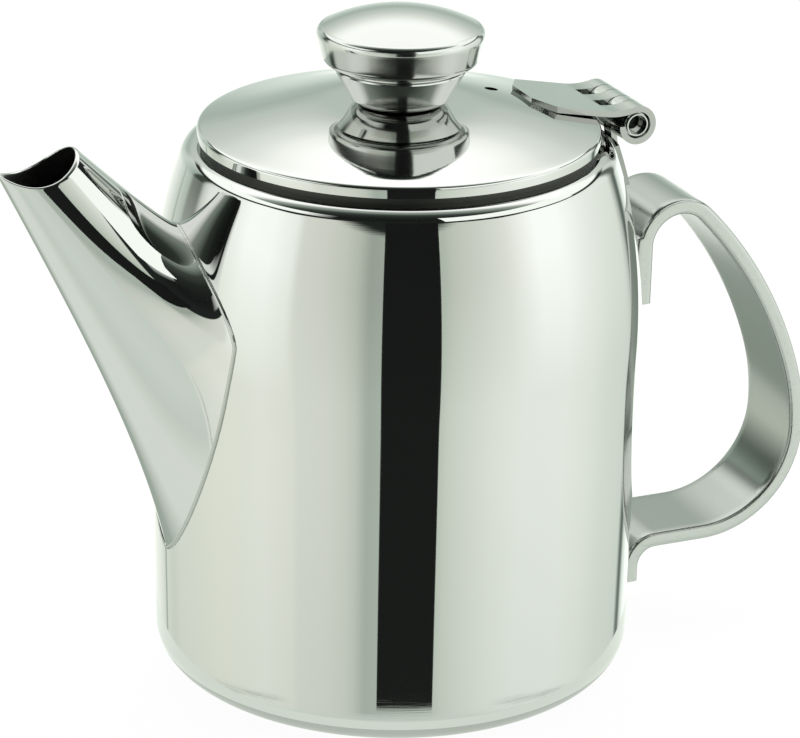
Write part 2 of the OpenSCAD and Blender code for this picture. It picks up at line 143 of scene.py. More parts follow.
class Wire:
    """One output socket of a shader node; arithmetic on it adds Math nodes."""

    def __init__(self, net: "Net", socket: bpy.types.NodeSocket) -> None:
        """Keep the socket and the net it belongs to."""
        self.net = net
        self.socket = socket

    def _math(self, operation: str, *values: "Wire | float") -> "Wire":
        """Add one Math node.

        Args:
            operation: The node's operation.
            values: What goes into its sockets, in order.

        Returns:
            Its result.
        """
        return self.net.add("ShaderNodeMath", {"operation": operation}, dict(enumerate(values)))

    def __add__(self, other: "Wire | float") -> "Wire":
        """Sum."""
        return self._math("ADD", self, other)

    __radd__ = __add__

    def __sub__(self, other: "Wire | float") -> "Wire":
        """Difference."""
        return self._math("SUBTRACT", self, other)

    def __rsub__(self, other: float) -> "Wire":
        """Difference, the other way round."""
        return self._math("SUBTRACT", other, self)

    def __mul__(self, other: "Wire | float") -> "Wire":
        """Product."""
        return self._math("MULTIPLY", self, other)

    __rmul__ = __mul__

    def __truediv__(self, other: "Wire | float") -> "Wire":
        """Quotient."""
        return self._math("DIVIDE", self, other)

    def clamped(self) -> "Wire":
        """This value kept between 0 and 1."""
        return self.net.add("ShaderNodeClamp", {}, {0: self, 1: 0.0, 2: 1.0})

    def above(self, edge: float, slope: float = 1.0) -> "Wire":
        """0 up to an edge, then a climb of this slope to 1."""
        return ((self - edge) * slope).clamped()

    def below(self, edge: float, slope: float = 1.0) -> "Wire":
        """0 down to an edge, then a climb of this slope to 1."""
        return ((edge - self) * slope).clamped()

    def angle_to(self, other: "Wire") -> "Wire":
        """Angle whose sine is this value and whose cosine is the other."""
        return self._math("ARCTAN2", self, other)

    def absolute(self) -> "Wire":
        """This value without its sign."""
        return self._math("ABSOLUTE", self)

    def root(self) -> "Wire":
        """Square root."""
        return self._math("SQRT", self)


class Net:
    """The node tree of one material or of the world."""

    def __init__(self, tree: bpy.types.NodeTree) -> None:
        """Start from an empty tree."""
        self.tree = tree
        tree.nodes.clear()

    def add(
        self, kind: str, settings: dict[str, object], inputs: dict[str | int, object], out: str | int = 0
    ) -> Wire:
        """Add any node.

        Args:
            kind: The node's type name.
            settings: Its properties, and "stops" for a colour ramp.
            inputs: Values or wires for its sockets, by name or place.
            out: The output socket to return.

        Returns:
            That output.
        """
        node = self.tree.nodes.new(kind)
        stops = settings.get("stops")
        for key, value in settings.items():
            if key != "stops":
                setattr(node, key, value)
        if stops:
            ramp = node.color_ramp
            while len(ramp.elements) > 1:
                ramp.elements.remove(ramp.elements[-1])
            ramp.elements[0].position, ramp.elements[0].color = stops[0][0], (*stops[0][1], 1.0)
            for place, colour in stops[1:]:
                ramp.elements.new(place).color = (*colour, 1.0)
        for key, value in inputs.items():
            socket = node.inputs[key]
            if isinstance(value, Wire):
                self.tree.links.new(value.socket, socket)
            elif isinstance(value, tuple) and len(value) == 3 and socket.type == "RGBA":
                socket.default_value = (*value, 1.0)
            else:
                socket.default_value = value
        if not node.outputs:
            return Wire(self, node.inputs[0])
        return Wire(self, node.outputs[out])

    def place(self) -> Wire:
        """Position on the object, in metres."""
        return self.add("ShaderNodeTexCoord", {}, {}, "Object")

    def axis(self, vector: Wire, name: str) -> Wire:
        """One coordinate, X, Y or Z, of a vector."""
        return self.add("ShaderNodeSeparateXYZ", {}, {0: vector}, name)

    def noise(self, vector: Wire, scale: float, detail: float = 2.0, roughness: float = 0.5) -> Wire:
        """Noise from 0 to 1.

        Args:
            vector: Where it is read.
            scale: Blobs to the metre.
            detail: Octaves.
            roughness: Weight of the finer octaves.

        Returns:
            The noise value.
        """
        inputs = {"Vector": vector, "Scale": scale, "Detail": detail, "Roughness": roughness}
        return self.add("ShaderNodeTexNoise", {}, inputs)

    def stretch(self, vector: Wire, scale: Point3) -> Wire:
        """The vector multiplied by a scale for each axis."""
        return self.add("ShaderNodeVectorMath", {"operation": "MULTIPLY"}, {0: vector, 1: scale})

    def blend(self, share: Wire | float, a: Wire | Colour, b: Wire | Colour) -> Wire:
        """Colour a share of the way from a to b."""
        return self.add("ShaderNodeMix", {"data_type": "RGBA"}, {0: share, 6: a, 7: b}, 2)

    def ramp(self, value: Wire, stops: Sequence[tuple[float, Colour]]) -> Wire:
        """A colour ramp over a value from 0 to 1."""
        return self.add("ShaderNodeValToRGB", {"stops": stops}, {0: value})

    def bump(self, height: Wire, strength: float, distance: float, under: Wire | None = None) -> Wire:
        """A normal bent by a height.

        Args:
            height: The height, 0 to 1.
            strength: How much of it counts.
            distance: Height of 1, in metres.
            under: A normal that is bent further.

        Returns:
            The normal.
        """
        inputs: dict[str | int, object] = {"Height": height, "Strength": strength, "Distance": distance}
        if under is not None:
            inputs["Normal"] = under
        return self.add("ShaderNodeBump", {}, inputs)

    def surface(self, **inputs: object) -> None:
        """Close the material with a Principled shader, its sockets named with _ for spaces."""
        named = {key.replace("_", " "): value for key, value in inputs.items()}
        shader = self.add("ShaderNodeBsdfPrincipled", {}, named)
        self.add("ShaderNodeOutputMaterial", {}, {"Surface": shader})

    def glow(self, light: Wire) -> None:
        """Close the material as lit fabric that reflects nothing."""
        black = (0.0, 0.0, 0.0)
        self.surface(Base_Color=black, Roughness=1.0, Emission_Color=light, Emission_Strength=1.0)


def new_material(name: str) -> tuple[bpy.types.Material, Net]:
    """A material and its empty net."""
    material = bpy.data.materials.new(name)
    material.use_nodes = True
    return material, Net(material.node_tree)


# ---------------------------------------------------------------- finishes


class PolishLines(Enum):
    """Which way the last polishing wheel ran."""

    ROUND_THE_AXIS = "round"
    ALONG_THE_SPOUT = "along"


@dataclass(frozen=True)
class MirrorSteel:
    """Stainless sheet polished to a mirror, with faint lines, smudges and a soft waviness."""

    name: str
    tint: Colour = (0.64, 0.645, 0.635)
    gloss: float = 0.022
    smudge: float = 0.05
    lines: PolishLines = PolishLines.ROUND_THE_AXIS
    waviness: float = 0.25

    def build(self) -> bpy.types.Material:
        """Make the material."""
        material, net = new_material(self.name)
        place = net.place()
        cloudy = net.noise(place, 38.0, 3.0, 0.6)
        fine = net.noise(place, 900.0, 2.0, 0.6)
        if self.lines is PolishLines.ROUND_THE_AXIS:
            grain = net.noise(net.stretch(place, (40.0, 40.0, 5200.0)), 1.0, 2.0, 0.6)
        else:
            grain = net.noise(net.stretch(place, (2600.0, 2600.0, 160.0)), 1.0, 2.0, 0.6)
        speck = net.noise(place, 260.0, 4.0, 0.7)
        marks = speck.above(0.66, 7.0)
        rough = cloudy.above(0.45) * self.smudge + (fine - 0.5) * 0.012 + marks * 0.05 + self.gloss
        dull = net.blend(cloudy.above(0.4) * 0.5 + marks * 0.2, self.tint, darker(self.tint, 0.94))
        soft = net.bump(net.noise(place, 14.0, 1.0, 0.4), self.waviness, 0.0004)
        normal = net.bump(grain, 0.05, 0.00002, soft)
        net.surface(Base_Color=dull, Metallic=1.0, Roughness=rough, Normal=normal)
        return material


@dataclass(frozen=True)
class DrawnSteel:
    """The inside of a pressing: the same steel left with its satin drawing marks."""

    name: str
    tint: Colour = (0.46, 0.465, 0.455)
    gloss: float = 0.22

    def build(self) -> bpy.types.Material:
        """Make the material."""
        material, net = new_material(self.name)
        place = net.place()
        streaks = net.noise(net.stretch(place, (1500.0, 1500.0, 60.0)), 1.0, 3.0, 0.6)
        cloudy = net.noise(place, 60.0, 4.0, 0.6)
        tone = net.blend(streaks * 0.4 + cloudy * 0.3, self.tint, darker(self.tint, 0.82))
        normal = net.bump(streaks, 0.18, 0.00005)
        net.surface(Base_Color=tone, Metallic=1.0, Roughness=cloudy * 0.14 + self.gloss, Normal=normal)
        return material


@dataclass(frozen=True)
class SatinStrap:
    """Strap steel tumbled to a satin, with fine grain and small pits towards its edges."""

    name: str
    half_width: float
    tint: Colour = (0.43, 0.45, 0.43)
    cut_tint: Colour = (0.52, 0.54, 0.52)
    gloss: float = 0.16

    def build(self) -> bpy.types.Material:
        """Make the material."""
        material, net = new_material(self.name)
        place = net.place()
        grain = net.noise(net.stretch(place, (900.0, 3600.0, 900.0)), 1.0, 3.0, 0.65)
        pebble = net.noise(place, 900.0, 3.0, 0.6)
        cloudy = net.noise(place, 30.0, 2.0, 0.5)
        across = net.axis(place, "Y") / self.half_width
        outward = across * across
        pits = pebble.above(0.58, 9.0) * outward.above(0.45, 2.2)
        marks = pits * 0.3 + cloudy.above(0.4) * 0.3 + grain.above(0.5) * 0.2
        worn = net.blend(marks, self.tint, darker(self.tint, 0.7))
        tone = net.blend(outward.above(0.95, 25.0), worn, self.cut_tint)
        rough = cloudy * 0.06 + pits * 0.10 + (grain - 0.5) * 0.03 + self.gloss
        coarse = net.bump(1.0 - pits, 0.18, 0.00012)
        normal = net.bump(grain, 0.045, 0.00004, coarse)
        net.surface(Base_Color=tone, Metallic=1.0, Roughness=rough, Normal=normal)
        return material


@dataclass(frozen=True)
class WornSteel:
    """Polished strip and turned steel, with short scratches from use.

    Faces that do not look up in the scene are darkened with painted shade, unless the share of light that
    they keep is 1.
    A pin with a bore, given as the x and z of its axis in metres, gets painted shade inside its tube and in
    the gap round it; the tube's two radii are in millimetres.
    """

    name: str
    tint: Colour = (0.47, 0.48, 0.465)
    gloss: float = 0.09
    scratch: float = 0.16
    # Share of light kept by faces that do not look up; the rest is painted shade.
    painted_side_light: float = 1.0
    bore: Point2 | None = None
    tube: Point2 = (1.75, 2.62)
    # Colour of the painted shade in and round the pin's bore.
    bore_shade: Colour = (0.012, 0.013, 0.012)

    def build(self) -> bpy.types.Material:
        """Make the material."""
        material, net = new_material(self.name)
        place = net.place()
        long_way = net.noise(net.stretch(place, (160.0, 3600.0, 900.0)), 1.0, 2.0, 0.6)
        cross_way = net.noise(net.stretch(place, (3200.0, 240.0, 900.0)), 1.0, 2.0, 0.6)
        cloudy = net.noise(place, 90.0, 3.0, 0.6)
        lines = long_way.above(0.6, 6.0) + cross_way.above(0.66, 6.0)
        clean = net.blend(cloudy.above(0.35) * 0.6 + lines * 0.15, self.tint, darker(self.tint, 0.8))
        # Painted shade on faces that do not look up in the world, so it moves with the pose.
        upward = net.axis(net.add("ShaderNodeNewGeometry", {}, {}, "Normal"), "Z").above(0.25, 3.0)
        tone = net.blend(upward, net.blend(1.0 - self.painted_side_light, clean, darker(self.tint, 0.2)), clean)
        # Painted shade: dark inside the pin's tube and in the gap round it.
        if self.bore:
            x, z = net.axis(place, "X") - self.bore[0], net.axis(place, "Z") - self.bore[1]
            out = (x * x + z * z).root() / MM
            hollow = out.below(self.tube[0], 8.0) + out.above(self.tube[1], 8.0)
            tone = net.blend(hollow.clamped(), tone, self.bore_shade)
        rough = lines * self.scratch + cloudy * 0.07 + self.gloss
        normal = net.bump(lines, 0.12, 0.00004)
        net.surface(Base_Color=tone, Metallic=1.0, Roughness=rough, Normal=normal)
        return material


# ---------------------------------------------------------------- mesh tools


def finish_mesh(
    name: str,
    bm: bmesh.types.BMesh,
    materials: Sequence[bpy.types.Material],
    body: str,
    nodes: Sequence[str],
    sharp: float = 35.0,
) -> bpy.types.Object:
    """Turn a bmesh into a dressed piece that stands for CAD nodes.

    Args:
        name: The piece's name.
        bm: Its mesh in millimetres; it is freed.
        materials: Its material slots.
        body: The CAD body it rides on.
        nodes: The CAD nodes it stands for.
        sharp: Edges that bend more than this, in degrees, stay crisp.

    Returns:
        The object.
    """
    bmesh.ops.scale(bm, vec=(MM, MM, MM), verts=bm.verts)
    bmesh.ops.recalc_face_normals(bm, faces=bm.faces)
    mesh = bpy.data.meshes.new(name)
    bm.to_mesh(mesh)
    bm.free()
    mesh.shade_smooth()
    mesh.set_sharp_from_angle(angle=math.radians(sharp))
    for material in materials:
        mesh.materials.append(material)
    piece = bpy.data.objects.new(name, mesh)
    bpy.context.collection.objects.link(piece)
    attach(piece, body)
    if nodes:
        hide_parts(*nodes)
    return piece


def turned(
    outline: Sequence[Point2], segments: int = 240, inner: Callable[[float, float], bool] | None = None
) -> bmesh.types.BMesh:
    """Turn a closed half outline round the Z axis.

    Args:
        outline: Its points, radius and height in millimetres.
        segments: Steps round the axis.
        inner: Says of a place on the outline whether it takes the second material.

    Returns:
        The closed mesh.
    """
    bm = bmesh.new()
    rings: list[list[bmesh.types.BMVert]] = []
    for radius, height in outline:
        if radius < ON_AXIS:
            rings.append([bm.verts.new((0.0, 0.0, height))] * segments)
            continue
        turns = [2 * math.pi * i / segments for i in range(segments)]
        rings.append([bm.verts.new((radius * math.cos(a), radius * math.sin(a), height)) for a in turns])
    for k, low in enumerate(rings):
        high = rings[(k + 1) % len(rings)]
        (r0, z0), (r1, z1) = outline[k], outline[(k + 1) % len(outline)]
        if r0 < ON_AXIS and r1 < ON_AXIS:
            continue
        slot = 1 if inner and inner((r0 + r1) / 2, (z0 + z1) / 2) else 0
        for i in range(segments):
            j = (i + 1) % segments
            corners = list(dict.fromkeys((low[i], low[j], high[j], high[i])))
            if len(corners) >= 3:
                bm.faces.new(corners).material_index = slot
    return bm


def grid_faces(bm: bmesh.types.BMesh, rows: Sequence[Sequence[bmesh.types.BMVert]], slot: int = 0) -> None:
    """Join neighbouring rings of points with faces.

    Args:
        bm: The mesh.
        rows: Closed rings with the same number of points.
        slot: Material slot of the faces.
    """
    count = len(rows[0])
    for low, high in zip(rows, rows[1:]):
        for i in range(count):
            j = (i + 1) % count
            bm.faces.new((low[i], low[j], high[j], high[i])).material_index = slot


def drilled(piece: bpy.types.Object, holes: Sequence[Drill]) -> None:
    """Cut round holes through a piece.

    Args:
        piece: The piece, in metres.
        holes: For each, a point and a direction in millimetres, a radius and a length.
    """
    bm = bmesh.new()
    for centre, way, radius, length in holes:
        turn = Vector(way).to_track_quat("Z", "Y").to_matrix().to_4x4()
        matrix = Matrix.Translation(Vector(centre) * MM) @ turn
        r, depth = radius * MM, length * MM
        bmesh.ops.create_cone(
            bm, cap_ends=True, segments=32, radius1=r, radius2=r, depth=depth, matrix=matrix)
    mesh = bpy.data.meshes.new("drill")
    bm.to_mesh(mesh)
    bm.free()
    drill = bpy.data.objects.new("drill", mesh)
    bpy.context.collection.objects.link(drill)
    cut = piece.modifiers.new("holes", "BOOLEAN")
    cut.operation, cut.solver, cut.object = "DIFFERENCE", "EXACT", drill
    deps = bpy.context.evaluated_depsgraph_get()
    done = bpy.data.meshes.new_from_object(piece.evaluated_get(deps), depsgraph=deps)
    piece.modifiers.clear()
    old = piece.data
    piece.data = done
    done.name = old.name
    bpy.data.meshes.remove(old)
    bpy.data.objects.remove(drill)
    bpy.data.meshes.remove(mesh)


# ---------------------------------------------------------------- the teapot


@dataclass
class Pot:
    """The drawn pot: base, wall, shoulder, rim and collar in one sheet, with its strainer holes."""

    wall_r: float = 54.0
    foot_r: float = 53.3
    sheet: float = 0.8
    base_bend: float = 7.0
    shoulder_z: float = 76.0
    shoulder_arc: float = 123.0
    rim_z: float = 119.0
    rim_bend: float = 3.5
    lid_inset: float = 3.6
    seat_w: float = 3.7
    collar_d: float = 5.0
    collar_bend: float = 0.7
    satin_in: float = 0.5
    satin_foot: float = 0.6
    satin_rim: float = 1.2
    shoulder_turn: float = field(init=False)
    shoulder_edge: Point2 = field(init=False)

    def __post_init__(self) -> None:
        """Work out where the shoulder ends."""
        self.shoulder_turn = math.degrees(math.asin(
            (self.rim_z - self.shoulder_z - self.rim_bend) / (self.shoulder_arc - self.rim_bend)))
        turn = math.radians(self.shoulder_turn)
        self.shoulder_edge = (
            self.wall_r - self.shoulder_arc + self.shoulder_arc * math.cos(turn),
            self.shoulder_z + self.shoulder_arc * math.sin(turn))

    @property
    def lid_r(self) -> float:
        """Outside radius of the lid that sits on the rim."""
        return self.shoulder_edge[0] - self.lid_inset

    @property
    def mouth_r(self) -> float:
        """Inside radius of the filling mouth."""
        return self.lid_r - self.seat_w

    def radius_at(self, height: float) -> float:
        """Outside radius of the pot at a height in millimetres."""
        if height < self.shoulder_z:
            share = max(0.0, height - self.base_bend) / (self.shoulder_z - self.base_bend)
            return lerp(self.foot_r, self.wall_r, share)
        drop = max(0.0, self.shoulder_arc**2 - (height - self.shoulder_z) ** 2)
        return self.wall_r - self.shoulder_arc + math.sqrt(drop)

    def skin(self, depth: float) -> list[Point2]:
        """Half outline of the sheet at a depth under its outside.

        Args:
            depth: 0 for the outside, the sheet's thickness for the inside.

        Returns:
            The points, from the middle of the base to the collar's edge.
        """
        turn = math.radians(self.shoulder_turn)
        centre = (self.wall_r - self.shoulder_arc, self.shoulder_z)
        edge_x, edge_z = self.shoulder_edge
        rim = (edge_x - self.rim_bend * math.cos(turn), edge_z - self.rim_bend * math.sin(turn))
        collar = self.sheet + self.collar_bend
        return [
            (0.0, depth),
            *arc((self.foot_r - self.base_bend, self.base_bend), self.base_bend - depth, -90, 0, 3),
            *arc(centre, self.shoulder_arc - depth, 0, self.shoulder_turn, 0.8),
            *arc(rim, self.rim_bend - depth, self.shoulder_turn, 90, 4),
            *arc((self.mouth_r + collar, self.rim_z - collar), collar - depth, 90, 180, 10),
            (self.mouth_r + depth, self.rim_z - self.collar_d)]

    def build(
        self, mirror: bpy.types.Material, satin: bpy.types.Material, holes: Sequence[Drill]
    ) -> bpy.types.Object:
        """Make the pot.

        Args:
            mirror: Finish of the outside.
            satin: Finish of the inside.
            holes: The strainer holes.

        Returns:
            The piece.
        """
        outline = finer([*self.skin(0.0), *reversed(self.skin(self.sheet))], 4.0)

        def within(radius: float, height: float) -> bool:
            """Whether a place is on the pot's inside, below its polished mouth."""
            low, high = self.sheet * self.satin_foot, self.rim_z - self.satin_rim
            return radius < self.radius_at(height) - self.satin_in and low < height < high

        piece = finish_mesh("pot_shell", turned(outline, 288, within), [mirror, satin], "pot", ["body"])
        drilled(piece, holes)
        return piece


@dataclass
class Spout:
    """The cone spout, rolled from sheet, flared on to the pot and welded round its seam."""

    pot: Pot
    sheet: float = 0.8
    mouth_out: float = 80.9
    mouth_z: float = 121.8
    mouth_len: float = 8.6
    mouth_wid: float = 7.0
    lip_pinch: float = 0.35
    mouth_tilt: float = 1.9
    mouth_dip: float = 1.7
    seam_z: float = 86.7
    seam_up: float = 19.3
    seam_down: float = 55.0
    seam_wid: float = 25.8
    throat_z: float = 85.0
    throat_up: float = 19.5
    throat_down: float = 38.0
    throat_wid: float = 15.5
    seam_power: float = 1.5
    straight: float = 0.85
    strain_r: float = 1.0
    strain_pitch: float = 6.2
    strain_edge: float = 5.0
    strain_half: int = 4
    strain_len: float = 6.0
    weld_r: float = 0.42
    weld_flat: float = 0.8
    weld_sides: int = 10
    around: int = 192
    along: int = 72

    def on_pot(self, angle: float, mid: float, up: float, down: float, wide: float, gap: float) -> Vector:
        """Point of an outline that lies on the pot's wall.

        Args:
            angle: Angle from the outline's lowest point, in radians.
            mid: Height of its widest place.
            up: Its rise above that place.
            down: Its drop below that place.
            wide: Its half width.
            gap: Distance kept from the wall.

        Returns:
            The point in millimetres.
        """
        power = 2 / self.seam_power
        c, s = math.cos(angle), math.sin(angle)
        z = mid - (down if c > 0 else up) * math.copysign(abs(c) ** power, c)
        y = wide * math.copysign(abs(s) ** power, s)
        radius = self.pot.radius_at(z) + gap
        return Vector((-math.sqrt(radius * radius - y * y), y, z))

    def seam(self, angle: float, depth: float = 0.0, gap: float = 0.03) -> Vector:
        """Point of the welded seam."""
        up, down, wide = self.seam_up - depth, self.seam_down - depth, self.seam_wid - depth
        return self.on_pot(angle, self.seam_z, up, down, wide, gap)

    def mouth(self, angle: float, depth: float) -> Vector:
        """Point of the pouring mouth's rim."""
        c, s = math.cos(angle), math.sin(angle)
        return Vector((
            -self.mouth_out - (self.mouth_len - depth) * c,
            (self.mouth_wid - depth) * s * (1 - self.lip_pinch * c),
            self.mouth_z - self.mouth_tilt * c + self.mouth_dip * math.cos(2 * angle)))

    def skin(self, angle: float, share: float, depth: float) -> Vector:
        """Point of the spout's skin.

        Args:
            angle: Angle round the spout, from its lip, in radians.
            share: 0 at the mouth and 1 at the seam.
            depth: Depth under the outside, up to the sheet's thickness.

        Returns:
            The point in millimetres.
        """
        mouth = self.mouth(angle, depth)
        inset = 1.2 * depth
        up, down, wide = self.throat_up - inset, self.throat_down - inset, self.throat_wid - inset
        throat = self.on_pot(angle, self.throat_z, up, down, wide, 0.0)
        seam = self.seam(angle, 1.6 * depth)
        q1 = mouth.lerp(throat, self.straight / 2)
        q2 = mouth.lerp(throat, self.straight)
        w = 1 - share
        return mouth * w**3 + q1 * (3 * w * w * share) + q2 * (3 * w * share * share) + seam * share**3

    def outward(self, angle: float) -> Vector:
        """Direction out of the mouth along the skin."""
        return (self.skin(angle, 0.0, 0.0) - self.skin(angle, 0.02, 0.0)).normalized()

    def build(self, mirror: bpy.types.Material, satin: bpy.types.Material) -> bpy.types.Object:
        """Make the spout's sheet, with a rounded lip.

        Args:
            mirror: Finish of the outside.
            satin: Finish of the inside.

        Returns:
            The piece.
        """
        bm = bmesh.new()
        angles = [2 * math.pi * i / self.around for i in range(self.around)]
        shares = [k / self.along for k in range(self.along + 1)]
        outer = [[bm.verts.new(self.skin(a, u, 0.0)) for a in angles] for u in reversed(shares)]
        lip = []
        for turn in (30, 60, 90, 120, 150):
            depth = self.sheet / 2 * (1 - math.cos(math.radians(turn)))
            proud = self.sheet / 2 * math.sin(math.radians(turn))
            row = []
            for a in angles:
                shift = self.outward(a) * (proud - self.sheet / 2)
                row.append(bm.verts.new(self.skin(a, 0.0, depth) + shift))
            lip.append(row)
        inner = [[bm.verts.new(self.skin(a, u, self.sheet)) for a in angles] for u in shares]
        for row in (outer[-1], inner[0]):
            for vert, a in zip(row, angles):
                vert.co -= self.outward(a) * self.sheet / 2
        grid_faces(bm, [*outer, *lip, inner[0]], 0)
        grid_faces(bm, inner, 1)
        grid_faces(bm, [inner[-1], outer[0]], 0)
        return finish_mesh("spout_shell", bm, [mirror, satin], "pot", ["spout"], 50)

    def strainer(self) -> list[Drill]:
        """Strainer holes through the pot's wall, in rows that stay clear of the seam."""
        holes: list[Drill] = []
        row_h = self.strain_pitch * math.sin(math.radians(60))
        low = self.seam_z - self.seam_down / 2
        for row in range(math.floor((self.seam_z + self.seam_up - self.strain_edge - low) / row_h) + 1):
            z = low + row * row_h
            reach = self.seam_up if z > self.seam_z else self.seam_down
            share = abs(z - self.seam_z) / reach
            half = self.seam_wid * (1 - share**self.seam_power) ** (1 / self.seam_power) if share < 1 else 0.0
            side = min(half, self.throat_wid + self.strain_edge) - self.strain_edge
            for k in range(-self.strain_half, self.strain_half + 1):
                y = k * self.strain_pitch + (0.0 if row % 2 == 0 else self.strain_pitch / 2)
                if abs(y) <= side:
                    radius = self.pot.radius_at(z)
                    turn = math.pi + math.asin(y / radius)
                    way = (math.cos(turn), math.sin(turn), 0.0)
                    holes.append(((way[0] * radius, way[1] * radius, z), way, self.strain_r, self.strain_len))
        return holes

    def weld(self, steel: bpy.types.Material) -> bpy.types.Object:
        """Make the thin polished weld round the seam."""
        bm = bmesh.new()
        turns = [2 * math.pi * k / self.weld_sides for k in range(self.weld_sides)]
        rows = []
        for i in range(self.around):
            a = 2 * math.pi * i / self.around
            here, before, after = (self.seam(a + step, 0.1, 0.12) for step in (0.0, -0.01, 0.01))
            way = (after - before).normalized()
            out = Vector((here.x, here.y, 0.0)).normalized()
            side = way.cross(out).normalized()
            bead = self.weld_r * (1 + 0.06 * math.sin(i * 2.4))
            spokes = [out * math.sin(t) * self.weld_flat + side * math.cos(t) for t in turns]
            rows.append([bm.verts.new(here + spoke * bead) for spoke in spokes])
        grid_faces(bm, [*rows, rows[0]])
        return finish_mesh("spout_weld", bm, [steel], "pot", [])


@dataclass
class StrapHandle:
    """The bent strap handle, its edges eased and its top tab dished to the pot."""

    pot: Pot
    thick: float = 3.5
    wide: float = 21.0
    edge: float = 0.85
    top_tab_z: float = 78.0
    hook_z: float = 91.3
    hook: Point2 = (-135.0, 8.6)
    grip: Point2 = (-27.0, 98.5)
    heel: Point2 = (-18.0, 52.0)
    corner: Point2 = (-90.0, 23.0)
    toe: Point2 = (90.0, 6.0)
    low_tab: float = 3.6
    tab_turn: float = 12.0
    tab_gap: float = 0.04

    @staticmethod
    def step(station: Point3, length: float, turn: float, radius: float) -> Point3:
        """Next station [x, z, heading] after a straight length, or a bend."""
        x, z, heading = station
        h0, h1 = math.radians(heading), math.radians(heading + turn)
        if not turn:
            return x + length * math.cos(h0), z + length * math.sin(h0), heading
        g = math.copysign(radius, turn)
        ahead, rise = math.sin(h1) - math.sin(h0), math.cos(h0) - math.cos(h1)
        return x + g * ahead, z + g * rise, heading + turn

    def path(self) -> list[Point3]:
        """Stations along the strap, closely spaced, from the top tab to the bottom one."""
        stations = [(self.pot.wall_r + self.thick / 2, self.top_tab_z, 90.0)]

        def run(length: float, turn: float = 0.0, radius: float = 0.0) -> None:
            """Add one piece of the run in small steps."""
            bow = abs(math.radians(turn)) * radius
            count = max(3, math.ceil(max(length, abs(turn) / 2.0, bow / 1.2)))
            for _ in range(count):
                stations.append(self.step(stations[-1], length / count, turn / count, radius))

        run(self.hook_z - self.top_tab_z)
        for turn, radius in (self.hook, self.grip, self.heel, self.corner):
            run(0.0, turn, radius)
        run(stations[-1][0] - self.toe[1] - stations[0][0])
        run(0.0, *self.toe)
        run(self.low_tab)
        return stations

    def section(self) -> list[Point2]:
        """Cross-section with round edges: across the thickness, then across the width."""
        t, w, e = self.thick / 2, self.wide / 2, self.edge
        corners = [(t - e, w - e, 0), (-t + e, w - e, 90), (-t + e, -w + e, 180), (t - e, -w + e, 270)]
        points: list[Point2] = []
        for index, (x, y, start) in enumerate(corners):
            points += arc((x, y), e, start, start + 90, 18)
            end = points[-1]
            if index % 2 == 0:
                nx = corners[(index + 1) % 4][0]
                points += [(lerp(end[0], nx, s), end[1]) for s in (0.33, 0.66)]
            else:
                points += [(end[0], lerp(end[1], -end[1], s / 12)) for s in range(1, 12)]
        return points

    def build(self, satin: bpy.types.Material) -> bpy.types.Object:
        """Make the strap."""
        bm = bmesh.new()
        section = self.section()
        rows = []
        stations = self.path()
        for x, z, heading in stations:
            h = math.radians(heading)
            row = []
            for across, side in section:
                px, pz = x - across * math.sin(h), z + across * math.cos(h)
                flat = min(abs(heading - 90), abs(heading + 270)) < self.tab_turn
                if flat and px < x:
                    wall = math.sqrt(max(0.0, self.pot.radius_at(pz) ** 2 - side * side)) + self.tab_gap
                    bow = self.pot.radius_at(pz) + self.tab_gap - wall
                    px -= bow * (x - px) / (self.thick / 2)
                row.append(bm.verts.new((px, side, pz)))
            rows.append(row)
        grid_faces(bm, rows)
        for row in (rows[0], rows[-1]):
            bm.faces.new(row)
        return finish_mesh("handle_strap", bm, [satin], "pot", ["handle"], 40)


